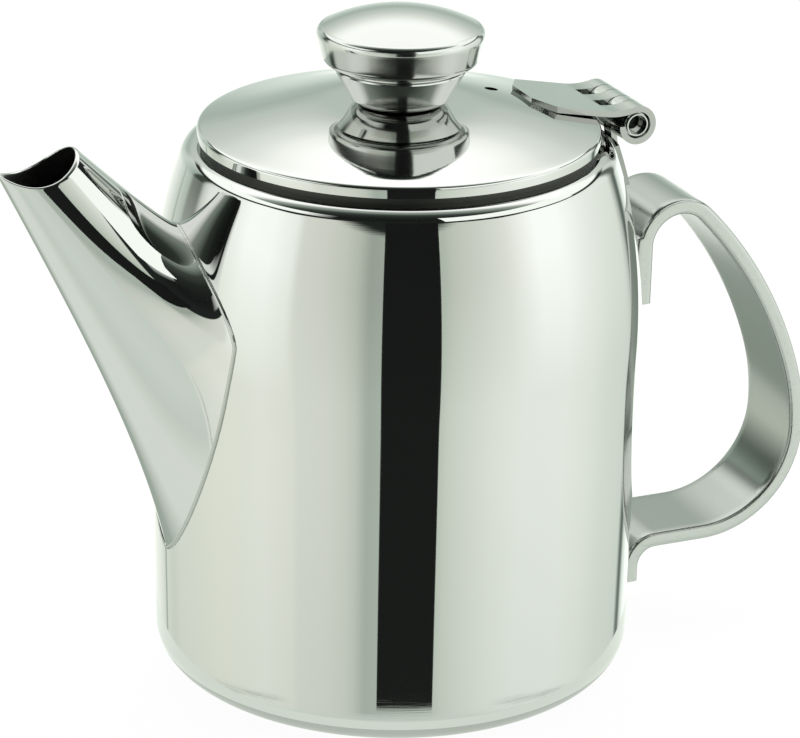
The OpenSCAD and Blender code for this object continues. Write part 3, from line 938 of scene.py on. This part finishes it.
@dataclass
class Lid:
    """The domed lid, its steam hole and the locating ring under it."""

    pot: Pot
    sheet: float = 0.8
    lift: float = 1.7
    band: float = 2.3
    rise: float = 4.8
    bend: float = 1.0
    plug_d: float = 5.0
    plug_gap: float = 0.5
    seat: float = 0.02
    flat_r: float = 16.0
    form_out: float = 40.0
    vent_in: float = 20.0
    vent_y: float = 4.5
    vent_up: float = 4.0
    vent_r: float = 1.5
    bore_up: float = 5.0
    bore_r: float = 2.6
    drill_len: float = 14.0

    @property
    def edge_z(self) -> float:
        """Height of the lid's turned edge."""
        return self.pot.rim_z + self.lift

    @property
    def apex_z(self) -> float:
        """Height of the top of the dome."""
        return self.edge_z + self.band + self.rise

    @property
    def dome_r(self) -> float:
        """Radius of the dome."""
        return (self.pot.lid_r**2 + self.rise**2) / (2 * self.rise)

    def press_form(self, radius: float) -> float:
        """How far the pressed dome stands proud of a plain sphere.

        Args:
            radius: Distance from the axis in millimetres.

        Returns:
            The height: the middle is pressed flat, and the rest runs out smoothly towards the edge.
        """
        if radius <= self.flat_r:
            return radius * radius / (2 * self.dome_r)
        reach = self.form_out - self.flat_r
        share = min(1.0, (radius - self.flat_r) / reach)
        stay = (1 + 2 * share) * (1 - share) ** 2
        climb = share * (1 - share) ** 2
        return stay * self.flat_r**2 / (2 * self.dome_r) + climb * reach * self.flat_r / self.dome_r

    def skin(self, depth: float) -> list[Point2]:
        """Half outline of the lid's sheet at a depth under its outside."""
        centre = (0.0, self.apex_z - self.dome_r)
        turn, bend_c = edge_bend(self.pot.lid_r, self.dome_r, self.bend, centre[1])
        dome = [(x, z + self.press_form(x)) for x, z in arc(centre, self.dome_r - depth, 90, 90 - turn, 0.4)]
        dome[0] = (0.0, dome[0][1])
        edge = arc(bend_c, self.bend - depth, 90 - turn, 0, 6)
        return [*dome, *edge, (self.pot.lid_r - depth, self.edge_z)]

    def build(self, mirror: bpy.types.Material, satin: bpy.types.Material) -> bpy.types.Object:
        """Make the lid and drill its steam hole and screw hole."""
        outline = finer([*self.skin(0.0), *reversed(self.skin(self.sheet))], 1.8)
        limit = self.dome_r - self.sheet / 2

        def under(radius: float, height: float) -> bool:
            """Whether a place is on the lid's underside."""
            over_centre = height - self.press_form(radius) - self.apex_z + self.dome_r
            return math.hypot(radius, over_centre) < limit and radius < self.pot.lid_r - self.sheet / 2

        piece = finish_mesh("lid_dome", turned(outline, 288, under), [mirror, satin], "lid", ["lid"])
        vent = (self.pot.lid_r - self.vent_in, self.vent_y, self.edge_z + self.vent_up)
        drilled(piece, [
            (vent, (0, 0, 1), self.vent_r, self.drill_len),
            ((0, 0, self.edge_z + self.bore_up), (0, 0, 1), self.bore_r, self.drill_len)])
        return piece

    def ring(self, satin: bpy.types.Material, shaded: bpy.types.Material) -> bpy.types.Object:
        """Make the locating ring; its outer wall gets painted shade, so that the gap under the lid's edge
        looks dark.
        """
        plug = self.pot.mouth_r - self.plug_gap
        rim = self.pot.lid_r - self.sheet - self.seat
        top = self.apex_z - self.dome_r + math.sqrt((self.dome_r - self.sheet) ** 2 - rim**2) - self.bend
        s, z = self.sheet, self.pot.rim_z
        outline = [
            (plug - s, z - self.plug_d), (plug, z - self.plug_d), (plug, z), (rim, z),
            (rim, top), (rim - s, top), (rim - s, z + s), (plug - s, z + s)]
        # The outer wall above the rim takes the second slot, painted shade for the gap under the lid's edge.
        bm = turned(finer(outline, 1.5), 240, lambda radius, height: radius > rim - 0.1 and height > z + 0.01)
        piece = finish_mesh("lid_locating_ring", bm, [satin, shaded], "lid", ["lid_ring"])
        return piece


@dataclass
class Knob:
    """The hollow knob: a pressed cap with a rolled edge over a cone, held by one screw."""

    lid: Lid
    height: float = 20.8
    radius: float = 18.0
    sheet: float = 0.8
    neck_r: float = 9.95
    seam_h: float = 7.7
    seam_r: float = 14.2
    cap_band: float = 5.4
    cap_lean: float = 1.1
    curl: float = 2.1
    dome: float = 4.4
    bend: float = 1.6
    lip_in: float = 0.9
    foot_bevel: float = 1.2
    bore_r: float = 2.6

    @property
    def foot_z(self) -> float:
        """Height of the knob's foot."""
        return self.lid.apex_z + self.lid.seat

    @property
    def curl_c(self) -> Point2:
        """Centre of the cap's rolled edge."""
        return self.radius - self.cap_lean - self.curl, self.foot_z + self.height - self.dome - self.cap_band

    def cap_skin(self, depth: float) -> list[Point2]:
        """Half outline of the cap's sheet at a depth under its outside."""
        dome_r = (self.radius**2 + self.dome**2) / (2 * self.dome)
        centre = (0.0, self.foot_z + self.height - dome_r)
        turn, bend_c = edge_bend(self.radius, dome_r, self.bend, centre[1])
        curl_c = self.curl_c
        lean = math.degrees(math.atan(self.cap_lean / (bend_c[1] - curl_c[1])))
        dome = arc(centre, dome_r - depth, 90, 90 - turn, 1.5)
        dome[0] = (0.0, dome[0][1])
        return [
            *dome,
            *arc(bend_c, self.bend - depth, 90 - turn, -lean, 6),
            *arc(curl_c, self.curl - depth, -lean, -90, 6),
            (curl_c[0] - self.lip_in, curl_c[1] - self.curl + depth)]

    def cap(self, mirror: bpy.types.Material) -> bpy.types.Object:
        """Make the cap."""
        outline = finer([*self.cap_skin(0.0), *reversed(self.cap_skin(self.sheet))], 0.8)
        piece = finish_mesh("knob_crown", turned(outline, 240), [mirror], "lid", ["knob_cap"])
        return piece

    def cup(self, mirror: bpy.types.Material) -> bpy.types.Object:
        """Make the cone under the cap."""
        z, s = self.foot_z, self.sheet
        slope = (self.seam_r - self.neck_r) / self.seam_h
        inset = s * math.sqrt(1 + slope * slope)
        neck = self.curl_c[0] - self.lip_in - 0.4
        flange_z = self.curl_c[1] - self.curl + s + 0.02
        cone_top = z + (neck - s - self.neck_r + inset) / slope
        bevel = self.foot_bevel
        foot = (self.neck_r + slope * bevel, z + bevel)
        outline = [
            (self.bore_r, z), (self.neck_r - bevel, z), (self.neck_r - bevel * 0.25, z + bevel * 0.4), foot,
            (self.seam_r, z + self.seam_h), (self.seam_r - 0.15, z + self.seam_h + 0.3),
            (neck, z + self.seam_h + s / 2), (neck, flange_z),
            (self.curl_c[0], flange_z), (self.curl_c[0], flange_z + s),
            (neck - s, flange_z + s), (neck - s, cone_top), (foot[0] - inset, z + bevel),
            (foot[0] - inset - (bevel - s), z + s), (self.bore_r, z + s)]
        piece = finish_mesh("knob_cone", turned(finer(outline, 0.8), 240), [mirror], "lid", ["knob_cup"])
        return piece


@dataclass
class Fittings:
    """The hinge and the knob's fastening, which keep their solids and get their finishes."""

    finishes: dict[str, bpy.types.Material]

    def dress(self) -> list[str]:
        """Give each solid its finish.

        Returns:
            The names of the dressed solids.
        """
        for name, material in self.finishes.items():
            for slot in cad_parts[name].material_slots:
                slot.material = material
        return list(self.finishes)


# ---------------------------------------------------------------- the studio


@dataclass
class LightTent:
    """A round tent of lit fabric with a dark slit for the lens, which the camera does not see.

    It is the scene's light and what the steel mirrors; the white that the camera sees is the world's.
    Its sizes are in metres and its spans in degrees from the lens, to the right positive. Each Edge is
    where the light changes, as a height or as a share of a turn away from the lens, and how steeply.
    """

    facing: float = 247.0
    wall_r: float = 1.15
    low: float = -0.62
    high: float = 1.15
    slit: Point2 = (-5.9, 20.2)
    slit_top: float = 0.62
    slit_foot: float = -0.597
    stand_r: float = 0.0645
    stand_z: float = -0.0008
    floor_r: float = 0.6
    rim_span: Point2 = (21.0, 92.0)
    rim_z: Point2 = (0.168, 0.245)
    rim_r: float = 0.145
    steel: float = 0.64
    shoulder_light: Edge = (-0.32, 1.9)
    foot_shade: Edge = (-0.44, 2.2)
    hem_z: float = -0.603
    hem_slope: float = 330.0
    hem_sides: Edge = (0.13, 30.0)
    brow: Edge = (0.43, 40.0)
    brow_fall: float = 0.34
    veil: Edge = (0.66, 16.0)
    hood: Edge = (0.150, 18.0)
    rear: Edge = (0.405, 40.0)
    rear_foot: Edge = (-0.05, 12.0)

    def seen(self, red: int, green: int, blue: int) -> Colour:
        """Glow that polished steel shows as an 8-bit display colour."""
        r, g, b = linear(red, green, blue)
        return r / self.steel, g / self.steel, b / self.steel

    def share_up(self, height: float) -> float:
        """Height in metres as a share of the wall's height."""
        return (height - self.low) / (self.high - self.low)

    def heading(self, net: Net) -> tuple[Wire, Wire]:
        """Turn round the tent from the slit, and rise over its height, both from 0 to 1."""
        place = net.add("ShaderNodeNewGeometry", {}, {}, "Position")
        x, y, z = (net.axis(place, name) for name in "XYZ")
        c, s = math.cos(math.radians(self.facing)), math.sin(math.radians(self.facing))
        ahead = x * c + y * s
        right = y * c - x * s
        return right.angle_to(ahead) / (2 * math.pi) + 0.5, (z - self.low) / (self.high - self.low)

    def fabric(
        self, low_stops: Stops, high_stops: Stops, rear_stops: Stops, top_stops: Stops
    ) -> bpy.types.Material:
        """Glowing fabric whose light changes round the tent and up its wall.

        Args:
            low_stops: Angle from the slit in degrees, to the right positive, and glow low on the wall.
            high_stops: The same at the height of the pot's rim and above.
            rear_stops: Height in metres and glow of the wall behind the pot.
            top_stops: Height in metres and glow above the front panels.

        Returns:
            The material.
        """
        material, net = new_material("tent_fabric")
        turn, rise = self.heading(net)
        height = rise * (self.high - self.low) + self.low
        aside = (turn - 0.5).absolute()
        low, high = (
            net.ramp(turn, [(a / 360 + 0.5, c) for a, c in stops]) for stops in (low_stops, high_stops))
        rear, top = (
            net.ramp(rise, [(self.share_up(z), c) for z, c in stops]) for stops in (rear_stops, top_stops))
        panels = net.blend(height.above(*self.shoulder_light), low, high)
        panels = net.blend(height.below(*self.foot_shade) * 0.5, panels, self.seen(160, 168, 160))
        hem = (1.0 - (height - self.hem_z).absolute() * self.hem_slope).clamped()
        hem = hem * aside.above(*self.hem_sides)
        panels = net.blend(hem * 0.8, panels, self.seen(84, 94, 86))
        open_sky = height.above(*self.veil) * (1.0 - aside.below(*self.hood))
        veiled = net.blend(open_sky, top, self.seen(246, 250, 245))
        front = net.blend((height - aside * self.brow_fall).above(*self.brow), panels, veiled)
        light = net.blend(aside.above(*self.rear) * height.above(*self.rear_foot), front, rear)
        net.glow(light)
        return material

    def sheet(self, name: str, stops: Stops) -> bpy.types.Material:
        """Level fabric whose glow changes along the way from behind the pot to the lens.

        Args:
            name: Its name.
            stops: Distance towards the lens in metres, and glow.

        Returns:
            The material.
        """
        material, net = new_material(name)
        place = net.place()
        c, s = math.cos(math.radians(self.facing)), math.sin(math.radians(self.facing))
        ahead = net.axis(place, "X") * c + net.axis(place, "Y") * s
        span = 2.2 * self.wall_r
        light = net.ramp(ahead / span + 0.5, [(d / span + 0.5, colour) for d, colour in stops])
        net.glow(light)
        return material

    def plain(self, name: str, colour: Colour) -> bpy.types.Material:
        """Fabric or card of one glow."""
        material, net = new_material(name)
        weave = net.noise(net.place(), 12.0)
        tone = net.blend(weave * 0.06, colour, darker(colour, 0.9))
        net.glow(tone)
        return material

    def wall(
        self, name: str, span: Point2, heights: Sequence[float], radius: float, material: bpy.types.Material
    ) -> bpy.types.Object:
        """A curved length of wall.

        Args:
            name: Its name.
            span: First and last angle from the slit, in degrees.
            heights: Heights of its rows of points, in metres.
            radius: Its distance from the pot's axis.
            material: Its finish.

        Returns:
            The stage piece.
        """
        bm = bmesh.new()
        steps = max(2, math.ceil(abs(span[1] - span[0]) / 3))
        rows = []
        for z in heights:
            row = []
            for i in range(steps + 1):
                a = math.radians(self.facing + lerp(span[0], span[1], i / steps))
                row.append(bm.verts.new((radius * math.cos(a), radius * math.sin(a), z)))
            rows.append(row)
        for low, high in zip(rows, rows[1:]):
            for i in range(steps):
                bm.faces.new((low[i], low[i + 1], high[i + 1], high[i]))
        return self.hang(name, bm, material)

    def disc(self, name: str, radius: float, height: float, material: bpy.types.Material) -> bpy.types.Object:
        """A round sheet, for the ground or the ceiling."""
        bm = bmesh.new()
        lift = Matrix.Translation((0, 0, height))
        bmesh.ops.create_circle(bm, cap_ends=True, segments=96, radius=radius, matrix=lift)
        return self.hang(name, bm, material)

    def hang(self, name: str, bm: bmesh.types.BMesh, material: bpy.types.Material) -> bpy.types.Object:
        """Put up a piece of the tent, hidden from the camera."""
        mesh = bpy.data.meshes.new(name)
        bm.to_mesh(mesh)
        bm.free()
        mesh.shade_smooth()
        mesh.materials.append(material)
        piece = bpy.data.objects.new(name, mesh)
        bpy.context.collection.objects.link(piece)
        piece.visible_camera = False
        return piece

    def raise_all(self) -> list[str]:
        """Put up the whole tent.

        Returns:
            The names of its pieces.
        """
        seen = self.seen
        low_stops = [
            (-180.0, seen(222, 226, 218)), (-150.0, seen(216, 220, 212)),
            (-139.5, seen(200, 206, 196)), (-138.0, seen(120, 130, 120)),
            (-136.5, seen(200, 206, 196)), (-128.0, seen(196, 202, 190)),
            (-120.0, seen(206, 211, 200)), (-90.0, seen(216, 220, 207)), (-62.0, seen(220, 223, 214)),
            (-47.0, seen(215, 218, 208)), (-44.0, seen(208, 212, 203)), (-30.0, seen(205, 208, 200)),
            (-22.0, seen(198, 202, 192)), (-17.0, seen(186, 192, 182)), (-12.0, seen(160, 170, 160)),
            (20.0, seen(180, 190, 178)), (24.0, seen(194, 201, 190)), (34.0, seen(206, 211, 202)),
            (46.0, seen(216, 221, 212)), (60.0, seen(223, 228, 220)), (84.0, seen(224, 229, 221)),
            (100.0, seen(218, 223, 213)), (114.0, seen(207, 213, 203)), (128.0, seen(200, 207, 197)),
            (137.0, seen(190, 200, 190)), (140.0, seen(86, 96, 90)), (143.0, seen(80, 92, 86)),
            (146.0, seen(196, 204, 194)), (153.0, seen(232, 240, 233)), (180.0, seen(222, 226, 218))]
        high_stops = [
            (-180.0, seen(226, 230, 224)), (-150.0, seen(196, 204, 196)), (-134.0, seen(164, 178, 168)),
            (-129.0, seen(150, 164, 154)), (-126.0, seen(56, 66, 58)), (-117.0, seen(50, 60, 52)),
            (-113.0, seen(190, 196, 188)), (-108.0, seen(222, 226, 218)),
            (-90.0, seen(228, 232, 224)), (-76.0, seen(246, 250, 244)), (-62.0, seen(244, 248, 242)),
            (-50.0, seen(230, 234, 227)), (-46.0, seen(207, 210, 201)), (-34.0, seen(200, 203, 194)),
            (-24.0, seen(190, 194, 184)), (-18.0, seen(176, 182, 171)), (-12.0, seen(148, 156, 146)),
            (22.0, seen(170, 180, 168)), (27.0, seen(186, 192, 180)), (40.0, seen(201, 205, 196)),
            (53.0, seen(216, 219, 210)), (60.0, seen(230, 233, 226)), (70.0, seen(248, 251, 247)),
            (84.0, seen(249, 252, 248)), (100.0, seen(233, 237, 231)), (114.0, seen(224, 229, 221)),
            (132.0, seen(216, 221, 213)), (138.0, seen(92, 100, 94)), (143.0, seen(80, 90, 84)),
            (146.0, seen(190, 198, 190)), (153.0, seen(222, 230, 224)), (180.0, seen(226, 230, 224))]
        rear_stops = [
            (self.low, seen(205, 210, 202)), (0.05, seen(190, 200, 192)), (0.19, seen(178, 189, 181)),
            (0.30, seen(160, 172, 163)), (0.40, seen(154, 166, 157)), (0.46, seen(164, 175, 166)),
            (0.50, seen(173, 183, 174)), (0.56, seen(180, 188, 180)), (0.65, seen(191, 197, 189)),
            (0.73, seen(204, 210, 202)), (0.83, seen(217, 221, 214)), (0.93, seen(234, 237, 231)),
            (1.05, seen(248, 250, 246)), (self.high, seen(254, 255, 253))]
        top_stops = [
            (self.low, seen(20, 24, 22)), (0.64, seen(20, 24, 22)),
            (0.92, seen(14, 16, 15)), (self.high, seen(12, 14, 13))]
        over_stops = [
            (-1.1, seen(254, 255, 253)), (-0.42, seen(254, 255, 253)), (-0.24, seen(214, 218, 212)),
            (-0.12, seen(142, 150, 142)), (0.0, seen(128, 138, 129)), (0.14, seen(96, 106, 98)),
            (0.28, seen(50, 56, 51)), (0.6, seen(24, 28, 25)), (1.1, seen(16, 18, 17))]
        under_stops = [
            (-1.1, seen(132, 142, 132)), (-0.5, seen(150, 160, 150)), (-0.1, seen(204, 210, 202)),
            (0.25, seen(206, 211, 203)), (0.45, seen(190, 198, 189)),
            (0.65, seen(196, 204, 195)), (1.1, seen(190, 198, 189))]
        card = self.plain("lens_slit_card", linear(9, 11, 11))
        rim_paper = self.plain("rim_fabric", seen(244, 248, 243))
        stand_paper = self.plain("stand_paper", seen(205, 212, 203))
        pieces = [
            self.wall(
                "tent_wall", (-180, 180), (self.low, 0.0, self.high), self.wall_r,
                self.fabric(low_stops, high_stops, rear_stops, top_stops)),
            self.wall("lens_slit", self.slit, (self.slit_foot, self.slit_top), self.wall_r - 0.01, card),
            self.wall("rim_card", self.rim_span, self.rim_z, self.rim_r, rim_paper),
            self.disc("bright_stand", self.stand_r, self.stand_z, stand_paper),
            self.disc("tent_ceiling", self.wall_r, self.high, self.sheet("ceiling_fabric", over_stops)),
            self.disc("tent_ground", self.wall_r, self.low, self.sheet("ground_sheet", under_stops)),
        ]
        return [piece.name for piece in pieces]

    def floor(self) -> bpy.types.Object:
        """Lay the pale floor sheet, clear from below, which takes a soft shadow and shows in no steel."""
        material, net = new_material("floor_paper")
        fibre = net.noise(net.place(), 700.0, 3.0)
        camera = net.add("ShaderNodeLightPath", {}, {}, "Is Camera Ray")
        tone = net.blend(fibre, (0.12, 0.12, 0.12), (0.115, 0.115, 0.115))
        paper = net.add("ShaderNodeBsdfDiffuse", {}, {"Color": tone})
        glow = net.add("ShaderNodeEmission", {}, {"Color": (1.0, 1.0, 1.0), "Strength": 0.93})
        both = net.add("ShaderNodeAddShader", {}, {0: paper, 1: glow})
        lit = net.add("ShaderNodeMixShader", {}, {0: camera, 1: paper, 2: both})
        below = net.add("ShaderNodeNewGeometry", {}, {}, "Backfacing")
        clear = net.add("ShaderNodeBsdfTransparent", {}, {})
        shader = net.add("ShaderNodeMixShader", {}, {0: below, 1: lit, 2: clear})
        net.add("ShaderNodeOutputMaterial", {}, {"Surface": shader})
        piece = self.disc("floor_sheet", self.floor_r, 0.0, material)
        piece.visible_camera = True
        piece.visible_glossy = False
        return piece


@dataclass
class StudioCamera:
    """The camera and the white ground it sees."""

    azimuth: float = -23.0
    elevation: float = 22.11
    roll: float = 1.02
    distance: float = 0.71786
    target: Point3 = (0.0, 0.0, 0.062)
    focal_px: float = 3238.74
    width_px: int = 800
    shift_px: Point2 = (5.3, 17.96)

    def build(self) -> bpy.types.Object:
        """Make the camera and make it the scene's own."""
        az, el, roll = (math.radians(v) for v in (self.azimuth, self.elevation, self.roll))
        ahead = Vector((-math.sin(az) * math.cos(el), math.cos(az) * math.cos(el), -math.sin(el)))
        right = Vector((math.cos(az), math.sin(az), 0.0))
        up = right.cross(ahead)
        cam_right = right * math.cos(roll) + up * math.sin(roll)
        cam_up = up * math.cos(roll) - right * math.sin(roll)
        place = Vector(self.target) - ahead * self.distance
        data = bpy.data.cameras.new("studio_camera")
        data.sensor_fit = "HORIZONTAL"
        data.sensor_width = 36.0
        data.lens = self.focal_px * data.sensor_width / self.width_px
        data.shift_x, data.shift_y = (v / self.width_px for v in self.shift_px)
        data.clip_start, data.clip_end = 0.05, 20.0
        camera = bpy.data.objects.new("studio_camera", data)
        axes = Matrix((cam_right, cam_up, -ahead)).transposed()
        camera.matrix_world = Matrix.Translation(place) @ axes.to_4x4()
        bpy.context.collection.objects.link(camera)
        bpy.context.scene.camera = camera
        return camera

    def ground(self) -> None:
        """White for the camera all round the object."""
        world = bpy.data.worlds.new("white_ground")
        world.use_nodes = True
        net = Net(world.node_tree)
        white = net.add("ShaderNodeBackground", {}, {"Color": (1.0, 1.0, 1.0), "Strength": 1.0})
        net.add("ShaderNodeOutputWorld", {}, {"Surface": white})
        bpy.context.scene.world = world


def build_finishes() -> dict[str, bpy.types.Material]:
    """Make every finish, by the name it goes by in main."""
    finishes = {
        "pot": MirrorSteel("pot_mirror_steel"),
        "spout": MirrorSteel("spout_mirror_steel", lines=PolishLines.ALONG_THE_SPOUT, waviness=0.35),
        "lid": MirrorSteel("lid_mirror_steel", waviness=0.12),
        "knob": MirrorSteel("knob_mirror_steel", tint=(0.60, 0.61, 0.595), gloss=0.115, waviness=0.08),
        "inside": DrawnSteel("drawn_steel_inside"),
        # Painted shade for the locating ring's outer wall in the gap under the lid's edge.
        "gap": DrawnSteel("painted_gap_shade", tint=(0.07, 0.072, 0.068), gloss=0.4),
        "strap": SatinStrap("tumbled_strap_steel", 0.0105),
        # The leaves get painted shade on their faces that do not look up.
        "leaf": WornSteel("hinge_leaf_steel", tint=(0.60, 0.615, 0.595), gloss=0.075, painted_side_light=0.62),
        # The pin gets painted shade in its bore and in the gap round it.
        "pin": WornSteel("hinge_pin_steel", tint=(0.56, 0.57, 0.55), gloss=0.14, bore=(0.05179, 0.1204)),
        "weld": WornSteel("weld_steel", tint=(0.50, 0.51, 0.49), gloss=0.16),
        "screw": WornSteel("screw_steel", tint=(0.50, 0.50, 0.48), gloss=0.24, scratch=0.25),
        "nut": WornSteel("nut_steel", tint=(0.44, 0.44, 0.43), gloss=0.28, scratch=0.2),
        "washer": WornSteel("washer_steel", tint=(0.52, 0.52, 0.51), gloss=0.26),
    }
    return {key: finish.build() for key, finish in finishes.items()}


def main() -> None:
    """Build the teapot and its studio in order."""
    logging.basicConfig(level=logging.INFO, format="%(name)s: %(message)s")
    steel = build_finishes()
    pot = Pot()
    spout = Spout(pot)
    lid = Lid(pot)
    knob = Knob(lid)
    pieces = [
        pot.build(steel["pot"], steel["inside"], spout.strainer()),
        spout.build(steel["spout"], steel["inside"]),
        spout.weld(steel["weld"]),
        StrapHandle(pot).build(steel["strap"]),
        lid.build(steel["lid"], steel["inside"]),
        lid.ring(steel["inside"], steel["gap"]),
        knob.cap(steel["knob"]),
        knob.cup(steel["knob"]),
    ]
    for piece in pieces:
        LOG.info("built %s with %d faces", piece.name, len(piece.data.polygons))
    fittings = Fittings({
        "hinge_body_leaf": steel["leaf"], "hinge_lid_leaf": steel["leaf"], "hinge_pin": steel["pin"],
        "knob_screw": steel["screw"], "knob_nut": steel["nut"], "knob_washer": steel["washer"]})
    LOG.info("dressed %s", ", ".join(fittings.dress()))
    tent = LightTent()
    LOG.info("hung %s", ", ".join([*tent.raise_all(), tent.floor().name]))
    camera = StudioCamera()
    LOG.info("placed %s", camera.build().name)
    camera.ground()
    bpy.context.scene.view_settings.view_transform = "Standard"


if __name__ == "__main__":
    main()
